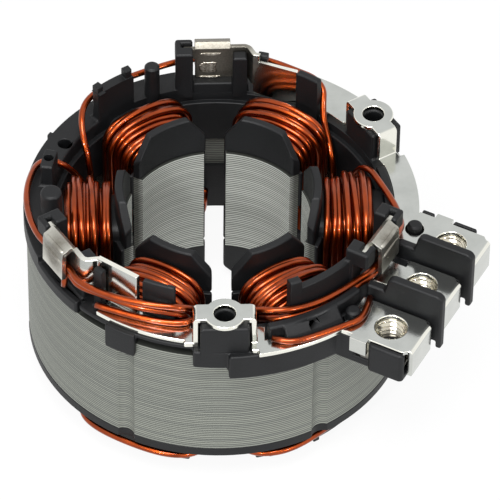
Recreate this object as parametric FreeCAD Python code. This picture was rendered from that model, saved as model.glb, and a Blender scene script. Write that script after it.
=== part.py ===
import FreeCAD, Part
import math
import os

os.makedirs("parts", exist_ok=True)

# Wound stator of a small brushless motor, in millimetres.
# The bore axis is Z, the core's lower face is z = 0, and angles run anticlockwise from +X.
# The terminal block points along 330 degrees, the teeth stand at 0, 60, 120 ... degrees.
# A rise is a height above the core's upper face.

# Laminated core
sheet_pitch = 0.35
sheet_count = 51
core_r = 26.0
yoke_width = 3.5
bore_r = 12.6
shoe_thickness = 1.4
tooth_count = 6
tooth_width = 7.0
slot_opening = 3.04
groove_r = 1.6
groove_depth = 0.6

# Moulded insulators
fit = 0.05
liner = 0.55
top_liner_depth = 6.2
bottom_liner_depth = 6.4
plate_setback = 0.2
plate_gap = 2.6
plate_top_rise = 6.45
plate_flat_half = 3.1
plate_bevel_half = 6.5
plate_bevel_drop = 4.9
plate_foot_drop = 6.5
plate_foot_round = 3.2
flange_overhang = 0.35
seat_rise = 2.05
raised_step = 1.0
flange_step = 0.7
bottom_flange = 1.5
window_height = 1.4
window_depth = 1.1
skirt_gap = 0.05
skirt_wall = 0.8
rooting = 0.5
guard_drop = 5.3
guard_wall = 1.1

# Guides for the leads, and the channel at the front
guide_wall = 1.4
tall_rise = 9.6
guide_rise = 8.75
head_rise = 6.9
stem_wall = 1.2
head_reach = 3.35
retainer_near = 2.75
retainer_far = 5.2
slot_depth = 1.55
channel_gap = 1.3
channel_crest = 1.3
channel_slope = 1.6
channel_rise = 4.45
sill_wall = 1.2
sill_rise = 3.75
locating_hole_r = 0.9
wire_hole_r = 0.62

# Coils
wire_d = 0.9
turns_across = 7
low_layers = 2
high_layers = 3
first_high_turn = 3
last_high_turn = 5
ridge_drop = 0.35
saddle_corner_r = 1.8
saddle_crown_r = 9.0
shoulder_steps = 3
coil_gap = 0.03
coil_inner_gap = 0.2
coil_outer_gap = 0.9

# Horns under the lower rim
horn_wall = 1.2
horn_drop = 4.1

# Busbars
sheet = 0.7
bar_inset = 0.4
bar_top_rise = 9.65
bar_setback = 0.25
rim_strip = 1.1
bar_overhang = 0.4
right_bar_width = 3.3
leg_out = 4.2
leg_foot = 1.2
tab_rise = 6.45
ear_r = 2.75
screw_hole_r = 1.45
pilot_r = 1.25
pilot_depth = 6.0
bend_r = 0.75
hook_out = 1.0
hook_half = 2.45
hook_room = 1.0
hook_lip_rise = 4.25
kink_out = 4.9
kink_end_angle = 14.2
rear_bar_drop = 1.6

# Terminals
terminal_angle = 330.0
lug_pitch = 8.9
lug_shift = -0.75
lug_out = 5.0
lug_width = 6.9
lug_end_out = 9.6
lug_corner = 1.1
lug_flap_drop = 4.6
lug_hole_r = 2.1
nut_side = 7.0
nut_height = 3.2
nut_gap = 0.1
nut_thread_r = 1.65
block_floor = 1.1
block_out = 8.8
block_margin = 0.1
rib_wall = 0.7
wall_thickness = 1.3
wall_low_rise = 4.65
wall_high_rise = 7.15
wall_high_out = 2.3
wall_end_out = 10.5
wall_round = 1.0
wall_foot_drop = 2.35
side_flap_out = 1.0
side_flap_length = 2.4
side_flap_drop = 2.6
stake_r = 1.0
stake_gap = 0.2
stake_inset = 0.5
stake_rise = 3.7
peg_chamfer = 0.3

# Worked-out sizes
core_h = sheet_pitch * sheet_count
yoke_r = core_r - yoke_width
shoe_back_r = bore_r + shoe_thickness
plate_r = bore_r + plate_setback
flange_r = core_r + flange_overhang
rim_in_r = yoke_r + fit * 2
liner_r = yoke_r - fit - liner
seat_z = core_h + seat_rise
root_z = seat_z - rooting
bar_z = seat_z + sheet
raised_z = seat_z + raised_step
tab_z = core_h + tab_rise
tall_z = core_h + tall_rise
tooth_pitch = 360.0 / tooth_count
slot_angles = [tooth_pitch * (i + 0.5) for i in range(tooth_count)]
tooth_angles = [tooth_pitch * i for i in range(tooth_count)]
boss_angles = (30.0, 270.0)
boss_slots = (30.0, 150.0, 270.0)
coil_half = tooth_width / 2 + fit + liner
coil_start = shoe_back_r + coil_inner_gap
turn_pitch = (liner_r - coil_outer_gap - coil_start) / turns_across
bar_r = yoke_r + bar_inset
front_bar_out_r = flange_r - bar_setback
channel_in_r = yoke_r + guide_wall - bar_inset - fit * 2 + channel_gap
channel_crest_r = channel_in_r + channel_crest
channel_foot_r = channel_crest_r + channel_slope
wide_bar_out_r = channel_foot_r + rim_strip
front_flange_r = wide_bar_out_r - bar_overhang
right_bar_in_r = rim_in_r + sill_wall + fit * 2
right_bar_out_r = right_bar_in_r + right_bar_width
boss_r = (yoke_r + core_r) / 2 + 0.65
hook_x = bar_r + hook_out
hook_angles = {"rear": 90.0, "left": 211.0, "terminal": 328.8}
lug_u = core_r + lug_out
lug_inner_u = bar_r + sheet + hook_out
lug_end_u = core_r + lug_end_out
block_out_u = core_r + block_out
stake_u = core_r - stake_inset
block_low_z = seat_z - nut_height - block_floor


def point(r, angle, z=0.0):
    """A point at a radius, an angle in degrees and a height."""
    a = math.radians(angle)
    return FreeCAD.Vector(r * math.cos(a), r * math.sin(a), z)


def turned(shape, angle):
    """The shape turned about the bore axis."""
    copy = shape.copy()
    copy.rotate(FreeCAD.Vector(0, 0, 0), FreeCAD.Vector(0, 0, 1), angle)
    return copy


def drum(r, z0, z1):
    """A cylinder on the bore axis."""
    return Part.makeCylinder(r, z1 - z0, FreeCAD.Vector(0, 0, z0))


def ring(r0, r1, z0, z1):
    """A ring about the bore axis."""
    return drum(r1, z0, z1).cut(drum(r0, z0, z1))


def block(x0, x1, y0, y1, z0, z1):
    """A box from its lowest and highest corner: x runs outwards, y along the rim."""
    return Part.makeBox(x1 - x0, y1 - y0, z1 - z0, FreeCAD.Vector(x0, y0, z0))


def peg(x, y, r, z0, z1):
    """An upright round peg, or the tool for a round hole."""
    return Part.makeCylinder(r, z1 - z0, FreeCAD.Vector(x, y, z0))


def pin(x, y, r, z0, z1):
    """An upright round pin with a chamfered top."""
    tip = Part.makeCone(r, r - peg_chamfer, peg_chamfer, FreeCAD.Vector(x, y, z1 - peg_chamfer))
    return peg(x, y, r, z0, z1 - peg_chamfer).fuse(tip)


def sector(r0, r1, z0, z1, a0, a1):
    """A piece of a ring between two angles."""
    mid = (a0 + a1) / 2
    inner = Part.Arc(point(r0, a0, z0), point(r0, mid, z0), point(r0, a1, z0)).toShape()
    outer = Part.Arc(point(r1, a1, z0), point(r1, mid, z0), point(r1, a0, z0)).toShape()
    side_1 = Part.makeLine(point(r0, a1, z0), point(r1, a1, z0))
    side_0 = Part.makeLine(point(r1, a0, z0), point(r0, a0, z0))
    face = Part.Face(Part.Wire([inner, side_1, outer, side_0]))
    return face.extrude(FreeCAD.Vector(0, 0, z1 - z0))


def outline(points, height):
    """A flat outline of corner points carried up by a height."""
    face = Part.Face(Part.makePolygon(points + [points[0]]))
    return face.extrude(FreeCAD.Vector(0, 0, height))


def sheet_outline(line):
    """Corner points round a sheet that follows a flat line of points, mitred at each corner."""
    near = []
    far = []
    for k, spot in enumerate(line):
        way_in = spot - line[k - 1] if k > 0 else line[1] - spot
        way_out = line[k + 1] - spot if k < len(line) - 1 else way_in
        square_in = FreeCAD.Vector(-way_in.y, way_in.x, 0).normalize()
        square_out = FreeCAD.Vector(-way_out.y, way_out.x, 0).normalize()
        mitre = (square_in + square_out).normalize()
        reach = mitre * (sheet / 2 / mitre.dot(square_in))
        near.append(spot + reach)
        far.insert(0, spot - reach)
    return near + far


def swung(points_rz, a0, a1):
    """A section in radius and height, swung about the bore axis between two angles."""
    corners = [FreeCAD.Vector(r, 0, z) for r, z in points_rz]
    face = Part.Face(Part.makePolygon(corners + [corners[0]]))
    axis = FreeCAD.Vector(0, 0, 1)
    return turned(face.revolve(FreeCAD.Vector(0, 0, 0), axis, a1 - a0), a0)


def joined(shapes):
    """One solid from pieces that meet."""
    whole = shapes[0].multiFuse(shapes[1:])
    return whole.removeSplitter()


def at_terminals(shape):
    """A shape drawn with x outwards along the terminal block, turned into place."""
    return turned(shape, terminal_angle)


def lug_v(i):
    """The sideways place of terminal 0, 1 or 2."""
    return lug_shift + (i - 1) * lug_pitch


# Laminated core
def core():
    """Yoke ring, six teeth with pole shoes, and a shallow groove behind each tooth."""
    pieces = [ring(yoke_r, core_r, 0, core_h), ring(bore_r, shoe_back_r, 0, core_h)]
    half = tooth_width / 2
    for angle in tooth_angles:
        tooth = block((bore_r + shoe_back_r) / 2, (yoke_r + core_r) / 2, -half, half, 0, core_h)
        pieces.append(turned(tooth, angle))
    body = joined(pieces)
    for angle in slot_angles:
        mouth = block(bore_r - 1, shoe_back_r + 1, -slot_opening / 2, slot_opening / 2, 0, core_h)
        body = body.cut(turned(mouth, angle))
    for angle in tooth_angles:
        groove = peg(core_r + groove_r - groove_depth, 0, groove_r, 0, core_h)
        body = body.cut(turned(groove, angle))
    return body


# Pieces that both insulators have
def saddle_points(x, grow):
    """Points over the top of a tooth: round shoulders and a low crown, as short flats."""
    shoulder = saddle_corner_r + grow
    crown = saddle_crown_r + grow
    centre_y = coil_half - saddle_corner_r
    centre_z = core_h + fit
    crown_z = centre_z - math.sqrt((crown - shoulder) ** 2 - centre_y ** 2)
    lean = math.asin(centre_y / (crown - shoulder))
    half = []
    for k in range(shoulder_steps + 1):
        turn = math.pi / 2 + (lean - math.pi / 2) * k / shoulder_steps
        half.append((centre_y + shoulder * math.sin(turn), centre_z + shoulder * math.cos(turn)))
    right = [FreeCAD.Vector(x, y, z) for y, z in half]
    left = [FreeCAD.Vector(x, -y, z) for y, z in reversed(half)]
    return right + [FreeCAD.Vector(x, 0, crown_z + crown)] + left


def saddle(x0, x1):
    """The moulding that carries the coil over the top of one tooth."""
    points = saddle_points(x0, 0)
    arch = Part.Face(Part.makePolygon(points + [points[0]])).extrude(FreeCAD.Vector(x1 - x0, 0, 0))
    return arch.cut(block(x0 - 1, x1 + 1, -coil_half - 1, coil_half + 1, core_h - 2, core_h))


def slot_liner(z0, z1):
    """The thin wall that lines the slots: tooth sides, yoke and the backs of the pole shoes."""
    outer = ring(shoe_back_r + fit, yoke_r - fit, z0, z1)
    inner = ring(shoe_back_r + fit + liner, liner_r, z0, z1)
    half = tooth_width / 2 + fit
    start = bore_r / 2
    for angle in tooth_angles:
        outer = outer.cut(turned(block(start, core_r, -half, half, z0, z1), angle))
        inner = inner.cut(turned(block(start, core_r, -half - liner, half + liner, z0, z1), angle))
    wall = outer.cut(inner)
    for angle in slot_angles:
        gap = block(start, shoe_back_r + liner * 2, -plate_gap / 2, plate_gap / 2, z0, z1)
        wall = wall.cut(turned(gap, angle))
    return wall


def mirrored_down(shape):
    """The shape turned over about the middle of the core's height."""
    return shape.mirror(FreeCAD.Vector(0, 0, core_h / 2), FreeCAD.Vector(0, 0, 1))


def plates(section_points, z0, z1):
    """The guard plates at the bore, one on each pole shoe, cut to a section."""
    half = plate_gap / 2
    band = ring(plate_r, shoe_back_r, z0, z1)
    for angle in slot_angles:
        band = band.cut(turned(block(plate_r - 1, shoe_back_r + 1, -half, half, z0, z1), angle))
    corners = [FreeCAD.Vector(plate_r - 1, y, z) for y, z in section_points]
    face = Part.Face(Part.makePolygon(corners + [corners[0]]))
    prism = face.extrude(FreeCAD.Vector(shoe_back_r - plate_r + 2, 0, 0))
    return [band.common(turned(prism, angle)) for angle in tooth_angles]


def top_plates():
    """Upper guard plates: flat top with a long bevel at each side."""
    top = core_h + plate_top_rise
    low = top - plate_bevel_drop
    wide = plate_bevel_half
    flat = plate_flat_half
    points = [(-wide, core_h), (wide, core_h), (wide, low), (flat, top), (-flat, top), (-wide, low)]
    return plates(points, core_h, top)


def bottom_plates():
    """Lower guard plates: round lower corners, and flat feet that the stator stands on."""
    low = -plate_foot_drop
    wide = plate_bevel_half
    flat = plate_flat_half
    r = plate_foot_round
    points = [(-wide, 0), (-wide, low + r), (-flat, low), (flat, low), (wide, low + r), (wide, 0)]
    return plates(points, low, 0)


# Top insulator
def post(angle, out, radius, rise):
    """A round post that a lead is led round."""
    spot = point(yoke_r + out, angle)
    return pin(spot.x, spot.y, radius, root_z, core_h + rise)


def guide(out_0, out_1, rise, a0, a1, low=root_z):
    """A curved wall on the rim, placed from the yoke's inner face outwards."""
    return sector(yoke_r + out_0, yoke_r + out_1, low, core_h + rise, a0, a1)


def claw(angle, side):
    """A stem beside a hook, whose overhanging head has a slot for the end of the strip."""
    x0 = liner_r + fit * 4
    y0 = retainer_near
    y1 = retainer_far
    stem = block(x0, x0 + stem_wall, y0, y1, root_z, tall_z)
    head = block(x0, x0 + head_reach, y0, y1, core_h + head_rise, tall_z)
    slot = block(hook_x - fit, hook_x + sheet + fit, y0 - 1, y0 + slot_depth, core_h, tall_z + 1)
    whole = stem.fuse(head).cut(slot)
    if side < 0:
        whole = whole.mirror(FreeCAD.Vector(0, 0, 0), FreeCAD.Vector(0, 1, 0))
    return turned(whole, angle)


def backing(angle, side):
    """The block that backs the strip between its hook and its kink, and the sill under the hook."""
    x0 = liner_r + fit * 4
    y0 = retainer_near
    prop = block(x0, hook_x - fit, y0, kink_out - 0.2, root_z, core_h + guide_rise)
    sill = block(rim_in_r, hook_x + sheet, -retainer_far, kink_out, root_z, core_h + sill_rise - fit)
    whole = prop.fuse(sill)
    if side < 0:
        whole = whole.mirror(FreeCAD.Vector(0, 0, 0), FreeCAD.Vector(0, 1, 0))
    return turned(whole, angle)


def kink_peg(angle, side):
    """The peg outside the strip, just past its kink."""
    ends = sorted((angle + side * (kink_end_angle + 0.9), angle + side * (kink_end_angle + 4.2)))
    return sector(bar_r + sheet + fit, bar_r + sheet + 1.1, root_z, core_h + guide_rise, ends[0], ends[1])


def hook_holders():
    """What holds the strips beside the three hooks."""
    rear = hook_angles["rear"]
    left = hook_angles["left"]
    terminal = hook_angles["terminal"]
    return [
        claw(rear, 1), backing(rear, -1), kink_peg(rear, -1),
        claw(left, -1), backing(left, 1), kink_peg(left, 1),
        claw(terminal, 1), claw(terminal, -1),
    ]


def lead_guides():
    """The posts, horns and curved walls that lead the wires round the rim to the hooks."""
    low = core_h + rooting
    wall = guide_wall
    return [
        post(111.5, 0.5, 1.05, 8.5),
        post(187.5, 0.2, 1.45, 8.6),
        guide(0.1, 0.1 + wall, 8.0, 119.0, 134.5),
        guide(0.2, wall, 9.4, 119.6, 122.2),
        guide(0.2, wall, 9.2, 132.0, 134.4),
        guide(0.1, 0.4 + wall, 6.6, 162.0, 171.0),
        guide(-0.4, 0.35 + bar_inset, guide_rise, 50.4, 59.4, low),
        guide(-0.4, bar_inset - fit, guide_rise, 242.0, 253.5, low),
        guide(-0.1, wall - bar_inset - fit * 2, 7.55, 295.0, 319.5, low),
        guide(-0.3, wall - bar_inset - fit, 9.05, 292.0, 296.0, low),
    ]


def channel_wall():
    """The low outer wall of the front lead channel, with a sloping foot along its middle stretch."""
    crest = channel_crest_r
    foot = channel_foot_r
    top = core_h + channel_rise
    plain = sector(channel_in_r, crest, root_z, top, 283.0, 315.0)
    section = [
        (crest - fit * 2, root_z), (foot, root_z), (foot, seat_z + rooting), (crest, top), (crest - fit * 2, top),
    ]
    return [plain, swung(section, 287.4, 305.5)]


def flange():
    """The rim plate on the core's top face, wide at the front, raised where no busbar lies."""
    step_z = core_h + flange_step
    right_r = right_bar_out_r - fit * 4
    nub_r = flange_r + bar_overhang
    return [
        ring(liner_r, flange_r, core_h, step_z),
        ring(rim_in_r, flange_r, step_z, seat_z),
        sector(rim_in_r, front_flange_r, core_h, seat_z, 271.0, 330.0),
        sector(rim_in_r, right_r, core_h, seat_z, 330.0, 395.0),
        sector(rim_in_r, front_flange_r, core_h, seat_z, 35.0, 62.0),
        sector(rim_in_r, flange_r, seat_z, raised_z, 100.0, 202.0),
        sector(flange_r - fit, nub_r, seat_z, raised_z, 147.6, 149.4),
        sector(rim_in_r, rim_in_r + sill_wall, seat_z, bar_z + bar_inset, 341.0, 376.0),
    ]


def skirts():
    """The tabs that reach down over the core's outside."""
    inner = core_r + skirt_gap
    outer = inner + skirt_wall
    shoulder = flange_r - rooting
    made = [sector(inner, front_flange_r, core_h - 2.1, seat_z, 271.0, 309.0)]
    for a0, a1, out, drop in ((234.0, 243.6, 0, 1.9), (56.4, 66.0, 0, 1.9), (261.0, 271.5, 0.6, 0.9)):
        made.append(sector(inner, outer + out, core_h - drop, seat_z, a0, a1))
        made.append(sector(shoulder, outer + out, core_h, seat_z, a0, a1))
    return made


def windows():
    """The recesses under the rim beside the skirt tabs, two of them with an upright slit at the end."""
    inner = flange_r - window_depth
    outer = flange_r + 1
    high = core_h + window_height
    made = [sector(inner, outer, core_h, high, a0, a1) for a0, a1 in ((223, 234), (243.6, 261), (66, 77))]
    for a0 in (222.2, 76.6):
        made.append(sector(inner, outer, core_h, seat_z + 1, a0, a0 + 1.2))
    return made


def bosses():
    """The two screw bosses that carry the busbar tabs."""
    made = []
    half = leg_out - sheet - bar_setback
    for angle in boss_angles:
        column = block(rim_in_r, boss_r + ear_r - 0.3, -half, half, seat_z - 1, tab_z)
        made.append(turned(column, angle))
    return made


def terminal_base():
    """The body of the terminal block with its side ribs, clear of the core."""
    low = block_low_z
    edge = lug_pitch + lug_width / 2 + block_margin
    near = lug_shift - edge
    far = lug_shift + edge
    rib_u = lug_u - 1.4
    base = block(yoke_r - 2.5, block_out_u, near, far, low, seat_z)
    cheek = block(rib_u, block_out_u, near - rib_wall, near, low, bar_z - fit * 4)
    cheek = cheek.makeFillet(rib_wall - fit, [edge for edge in cheek.Edges if is_upright(edge, near - rib_wall)])
    rear_rib = block(rib_u, rib_u + 3.4, far, far + rib_wall - 0.1, low, bar_z)
    inner_rib = block(lug_inner_u + 0.3, core_r + 0.7, far, far + rib_wall - 0.1, core_h, bar_z)
    body = joined([base, cheek, rear_rib, inner_rib])
    body = body.cut(drum(core_r + skirt_gap, low - 1, core_h))
    return at_terminals(body.cut(drum(yoke_r + 1, low - 1, seat_z + 5)))


def is_upright(edge, y):
    """Whether an edge stands upright in the plane of a given y."""
    a, b = edge.Vertexes[0].Point, edge.Vertexes[1].Point
    return abs(a.x - b.x) + abs(a.y - y) + abs(b.y - y) < 1e-6


def terminal_wall(v):
    """The partition between two terminals: low inside, high outside, with rounded upper corners."""
    half = wall_thickness / 2
    r = wall_round
    c = r * (1 - math.sqrt(0.5))
    top = core_h + wall_high_rise
    mid = core_h + wall_low_rise
    foot = core_h - wall_foot_drop
    step = core_r + wall_high_out
    end = core_r + wall_end_out
    clear_end = lug_end_u + fit * 2
    start = lug_inner_u + rib_wall
    low = block_low_z + 1

    def corner(u, z):
        return FreeCAD.Vector(u, v - half, z)

    edges = [
        Part.makeLine(corner(start, root_z), corner(start, mid)),
        Part.makeLine(corner(start, mid), corner(step - r * 0.4, mid)),
        Part.makeLine(corner(step - r * 0.4, mid), corner(step, top - r)),
        Part.Arc(corner(step, top - r), corner(step + c, top - c), corner(step + r, top)).toShape(),
        Part.makeLine(corner(step + r, top), corner(end - r, top)),
        Part.Arc(corner(end - r, top), corner(end - c, top - c), corner(end, top - r)).toShape(),
        Part.makeLine(corner(end, top - r), corner(end, foot)),
        Part.makeLine(corner(end, foot), corner(clear_end, foot)),
        Part.makeLine(corner(clear_end, foot), corner(clear_end, low)),
        Part.makeLine(corner(clear_end, low), corner(lug_u, low)),
        Part.makeLine(corner(lug_u, low), corner(lug_u, root_z)),
        Part.makeLine(corner(lug_u, root_z), corner(start, root_z)),
    ]
    return at_terminals(Part.Face(Part.Wire(edges)).extrude(FreeCAD.Vector(0, wall_thickness, 0)))


def stake_v(side):
    """The sideways place of a stake, just outside its lug's middle."""
    return lug_shift + side * (lug_pitch + stake_gap)


def stakes():
    """The two pegs that hold the outer busbars down."""
    made = []
    for side in (-1, 1):
        made.append(at_terminals(pin(stake_u, stake_v(side), stake_r, root_z, core_h + stake_rise)))
    return made


def nut_pocket(i):
    """The pocket that a nut is slid into from outside, with a clearance hole for the screw's end."""
    half = nut_side / 2 + nut_gap
    v = lug_v(i)
    room = block(lug_u - half, block_out_u + 1, v - half, v + half, seat_z - nut_height, seat_z + 1)
    below = seat_z - nut_height - block_floor - 1
    return at_terminals(room.fuse(peg(lug_u, v, lug_hole_r, below, seat_z)))


def top_insulator():
    """The upper moulding, one piece."""
    pieces = flange() + skirts() + hook_holders() + lead_guides() + channel_wall() + bosses()
    pieces += [slot_liner(core_h - top_liner_depth, core_h + fit)] + top_plates() + stakes()
    for angle in tooth_angles:
        pieces.append(turned(saddle((plate_r + shoe_back_r) / 2, yoke_r), angle))
    pieces.append(terminal_base())
    for side in (-0.5, 0.5):
        pieces.append(terminal_wall(lug_shift + side * lug_pitch))
    body = joined(pieces)
    for window in windows():
        body = body.cut(window)
    for angle in boss_angles:
        spot = point(boss_r, angle)
        body = body.cut(peg(spot.x, spot.y, pilot_r, tab_z - pilot_depth, tab_z + 1))
    spot = point(yoke_r + guide_wall - fit * 2, 150)
    body = body.cut(peg(spot.x, spot.y, locating_hole_r, core_h - 1, raised_z + 1))
    spot = point(yoke_r + guide_wall * 0.7, 166.4)
    body = body.cut(peg(spot.x, spot.y, wire_hole_r, raised_z, tall_z))
    for i in range(3):
        body = body.cut(nut_pocket(i))
    return body


# Bottom insulator
def bottom_insulator():
    """The lower moulding: rim, saddles, slot liners, outer walls and hooks for the crossovers."""
    under = -bottom_flange
    rim = ring(liner_r, flange_r - flange_overhang + fit, under, 0)
    pieces = [rim, slot_liner(-fit, bottom_liner_depth)] + bottom_plates()
    for angle in tooth_angles:
        arch = mirrored_down(saddle((plate_r + shoe_back_r) / 2, yoke_r))
        pieces.append(turned(arch, angle))
        guard = sector(yoke_r, yoke_r + guard_wall, -guard_drop, under + rooting, angle - 19, angle + 19)
        pieces.append(guard)
    horn_r = yoke_r + horn_wall
    for slot in boss_slots:
        for offset, half in ((-23.0, 2.0), (16.5, 2.0), (-37.0, 1.0), (31.0, 1.0)):
            a = slot + offset
            pieces.append(sector(horn_r, horn_r + horn_wall, -horn_drop, under + rooting, a - half, a + half))
    body = joined(pieces)
    for angle in tooth_angles:
        notch = peg(core_r + groove_r - groove_depth, 0, groove_r, under, 0)
        body = body.cut(turned(notch, angle))
    return body


# Coils
def loop_round_tooth(x, grow):
    """The closed outline round a tooth and its insulators at a distance from them."""
    upper = saddle_points(x, grow)
    lower = [FreeCAD.Vector(x, spot.y, core_h - spot.z) for spot in reversed(upper)]
    return Part.makePolygon(upper + lower + [upper[0]])


def coil():
    """One coil as a ridged body: a crest for each turn, with one more layer in the middle."""
    layers = [low_layers] * turns_across
    for i in range(first_high_turn, last_high_turn + 1):
        layers[i] = high_layers
    rings = []
    for i in range(turns_across):
        x = coil_start + i * turn_pitch
        beside = layers[max(i - 1, 0)]
        valley = min(layers[i], beside) * wire_d - ridge_drop
        rings.append(loop_round_tooth(x, coil_gap + valley))
        rings.append(loop_round_tooth(x + turn_pitch / 2, coil_gap + layers[i] * wire_d))
    x1 = coil_start + turns_across * turn_pitch
    rings.append(loop_round_tooth(x1, coil_gap + layers[-1] * wire_d - ridge_drop))
    body = Part.makeLoft(rings, True, True)
    inside = Part.Face(loop_round_tooth(coil_start - 1, coil_gap))
    return body.cut(inside.extrude(FreeCAD.Vector(x1 - coil_start + 2, 0, 0)))


# Busbars
def hook(angle, foot_z):
    """The folded tang of a busbar: up, over the leads with a pressed groove, and down outside."""
    top = core_h + bar_top_rise - sheet / 2
    inner_x = hook_x + sheet / 2
    outer_x = inner_x + sheet + hook_room
    line = [
        FreeCAD.Vector(inner_x, foot_z, 0), FreeCAD.Vector(inner_x, top - sheet * 0.6, 0),
        FreeCAD.Vector(inner_x + sheet * 0.6, top, 0), FreeCAD.Vector(inner_x + 1.45 * sheet, top - sheet / 2, 0),
        FreeCAD.Vector(outer_x - sheet * 0.3, top - sheet * 0.75, 0),
        FreeCAD.Vector(outer_x - sheet * 0.15, top - sheet * 1.6, 0),
        FreeCAD.Vector(outer_x, core_h + hook_lip_rise, 0),
    ]
    corners = [FreeCAD.Vector(spot.x, -hook_half, spot.y) for spot in sheet_outline(line)]
    face = Part.Face(Part.makePolygon(corners + [corners[0]]))
    return turned(face.extrude(FreeCAD.Vector(0, hook_half * 2, 0)), angle)


def tail(angle, side):
    """The short end of the strip beside a hook, in the slot of its claw."""
    y0, y1 = sorted((side * (hook_half - fit), side * (retainer_near + slot_depth - fit * 4)))
    low = core_h + head_rise + fit * 3
    high = core_h + bar_top_rise - sheet
    return turned(block(hook_x, hook_x + sheet, y0, y1, low, high), angle)


def kinked_strip(angle, side, end_angle, drop):
    """The strip on edge past a hook: straight, a kink inwards, and straight on to its end."""
    x = hook_x + sheet / 2
    mid_r = bar_r + sheet / 2
    hook_line = [
        turned_point(x, side * (hook_half - fit), angle), turned_point(x, side * kink_out, angle),
        point(mid_r, angle + side * kink_end_angle),
        point(mid_r, angle + side * (kink_end_angle + 2)),
    ]
    bar_line = [point(mid_r, angle + side * kink_end_angle), point(mid_r, end_angle)]
    low = core_h + sill_rise
    top = core_h + bar_top_rise
    high_part = outline(sheet_outline(hook_line), top - sheet / 2 - low)
    high_part.translate(FreeCAD.Vector(0, 0, low))
    low_part = outline(sheet_outline(bar_line), top - drop - seat_z)
    low_part.translate(FreeCAD.Vector(0, 0, seat_z))
    return [high_part, low_part]


def turned_point(x, y, angle):
    """A point at x outwards and y along the rim, turned about the bore axis."""
    return point(math.hypot(x, y), angle + math.degrees(math.atan2(y, x)))


def tab_strip(r0, r1):
    """The raised tab of a busbar: up a leg, over the boss and down the other leg."""
    top = tab_z + sheet
    out = leg_out
    inn = leg_out - sheet
    foot = out + leg_foot

    def corner(y, z):
        return FreeCAD.Vector(r0, y, z)

    points = [
        corner(-foot, seat_z), corner(-foot, bar_z), corner(-out, bar_z), corner(-out, top),
        corner(out, top), corner(out, bar_z), corner(foot, bar_z), corner(foot, seat_z),
        corner(inn, seat_z), corner(inn, tab_z), corner(-inn, tab_z), corner(-inn, seat_z),
    ]
    face = Part.Face(Part.makePolygon(points + [points[0]]))
    strip = face.extrude(FreeCAD.Vector(r1 - r0, 0, 0))
    rounded = []
    for edge in strip.Edges:
        a, b = edge.Vertexes[0].Point, edge.Vertexes[1].Point
        along = abs(a.x - b.x) > sheet / 2
        if along and abs(a.z - top) < 1e-6:
            rounded.append(edge)
    strip = strip.makeFillet(bend_r, rounded)
    return strip.fuse(peg(boss_r, 0, ear_r, tab_z, top))


def lug(i, u0):
    """The flat end of a busbar on its nut, with the end flap turned down over the nut's pocket."""
    v = lug_v(i)
    half = lug_width / 2
    bend_u = lug_end_u - sheet
    z = seat_z
    cut = lug_corner / 2
    corners = [
        FreeCAD.Vector(u0, v - half, z), FreeCAD.Vector(bend_u - cut, v - half, z),
        FreeCAD.Vector(bend_u, v - half + cut, z), FreeCAD.Vector(bend_u, v + half - cut, z),
        FreeCAD.Vector(bend_u - cut, v + half, z), FreeCAD.Vector(u0, v + half, z),
    ]
    plate = outline(corners, sheet)
    flap = block(bend_u, lug_end_u, v - half + cut, v + half - cut, bar_z - lug_flap_drop, bar_z)
    rounded = []
    for edge in flap.Edges:
        a, b = edge.Vertexes[0].Point, edge.Vertexes[1].Point
        if abs(a.x - lug_end_u) + abs(b.x - lug_end_u) + abs(a.z - bar_z) + abs(b.z - bar_z) < 1e-6:
            rounded.append(edge)
    flap = flap.makeFillet(sheet * 0.85, rounded)
    return at_terminals(plate.fuse(flap).cut(peg(lug_u, v, lug_hole_r, z - 1, bar_z + 1)))


def side_flap(side):
    """The small flap turned down at the outer side of terminal 0 or 2."""
    edge = lug_pitch + lug_width / 2
    u0 = core_r + side_flap_out
    u1 = u0 + side_flap_length
    flap = block(u0, u1, edge + block_margin, edge + block_margin + sheet, bar_z - side_flap_drop, bar_z)
    bridge = block(u0, u1, edge - stake_gap, edge + block_margin, seat_z, bar_z)
    whole = flap.fuse(bridge)
    if side < 0:
        whole = whole.mirror(FreeCAD.Vector(0, 0, 0), FreeCAD.Vector(0, 1, 0))
    whole.translate(FreeCAD.Vector(0, lug_shift, 0))
    return at_terminals(whole)


def stake_holes():
    """The clearance round the stakes."""
    holes = []
    for side in (-1, 1):
        holes.append(at_terminals(peg(stake_u, stake_v(side), stake_r + stake_gap, seat_z - 1, bar_z + 1)))
    return holes


def screw_hole(angle):
    """The screw hole in a busbar tab."""
    spot = point(boss_r, angle)
    return peg(spot.x, spot.y, screw_hole_r, tab_z - 1, tab_z + sheet + 1)


def plate_set(pieces, holes):
    """Busbar pieces made one, with its holes."""
    body = joined(pieces)
    for hole in holes:
        body = body.cut(hole)
    return body


def busbar_front():
    """From the left hook round the front boss to terminal 0."""
    spread = math.degrees(math.asin((leg_out + 0.5) / boss_r))
    left = hook_angles["left"]
    foot_r = bar_r + 0.3
    lug_turn = math.degrees(math.asin((lug_pitch - lug_shift) / wide_bar_out_r))
    pieces = kinked_strip(left, 1, 241.0, 0) + [
        hook(left, core_h + sill_rise),
        tail(left, -1),
        sector(bar_r, front_bar_out_r, seat_z, bar_z, 229.6, 270.0 - spread),
        turned(tab_strip(foot_r, front_bar_out_r), 270.0),
        sector(channel_crest_r + 0.2, wide_bar_out_r, seat_z, bar_z, 270.0 + spread - 2, 287.2),
        sector(channel_foot_r + 0.1, wide_bar_out_r, seat_z, bar_z, 286.0, terminal_angle - lug_turn),
        turned(block(foot_r, wide_bar_out_r - rim_strip, leg_out - sheet, leg_out + 1.0, seat_z, bar_z), 270.0),
        lug(0, lug_inner_u + 0.7),
        side_flap(-1),
    ]
    return plate_set(pieces, stake_holes() + [screw_hole(270.0)])


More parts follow.
